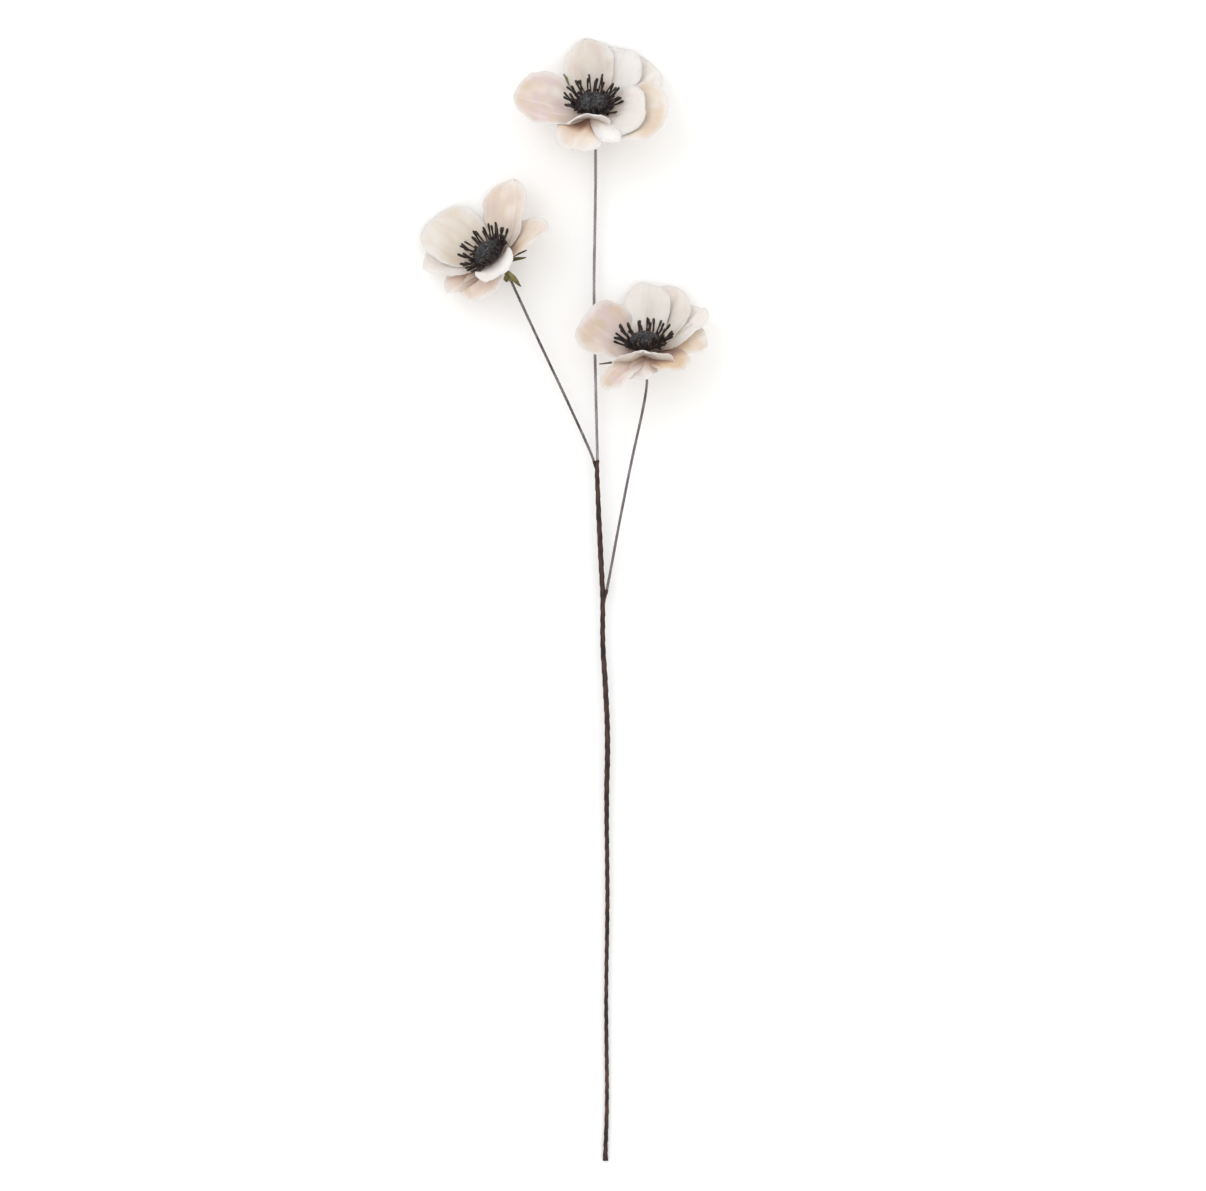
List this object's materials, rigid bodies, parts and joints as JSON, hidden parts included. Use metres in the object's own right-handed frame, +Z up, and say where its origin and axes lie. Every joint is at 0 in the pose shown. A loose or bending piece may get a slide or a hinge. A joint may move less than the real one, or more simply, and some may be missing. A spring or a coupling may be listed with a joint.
{
  "type": "artificial anemone flower spray",
  "caption": "Branched wire stem wrapped in brown tape, with cloth blooms of cream petals round a dark domed eye with stamens, lying flat.",
  "frame": {"origin": "on the surface that the spray lies on, at the middle of its footprint", "axes": "+Z up from the surface, +Y along the stem from its cut end to the blooms, +X to the right as seen from above"},
  "size_m": [0.1903, 0.7488, 0.065],
  "materials": {
    "petal_cloth": "matt cream cloth",
    "dark_eye": "matt, near black",
    "green_plastic": "matt olive green",
    "coated_wire": "grey-brown coating",
    "taped_stem": "brown paper tape over steel wires"
  },
  "bodies": {
    "root": {"main_stem": "taped_stem", "petals_top": "petal_cloth", "eye_top": "dark_eye", "calyx_top": "green_plastic", "branch_top": "coated_wire", "petals_left": "petal_cloth", "eye_left": "dark_eye", "calyx_left": "green_plastic", "branch_left": "coated_wire", "petals_right": "petal_cloth", "eye_right": "dark_eye", "calyx_right": "green_plastic", "branch_right": "coated_wire"}
  },
  "joints": []
}
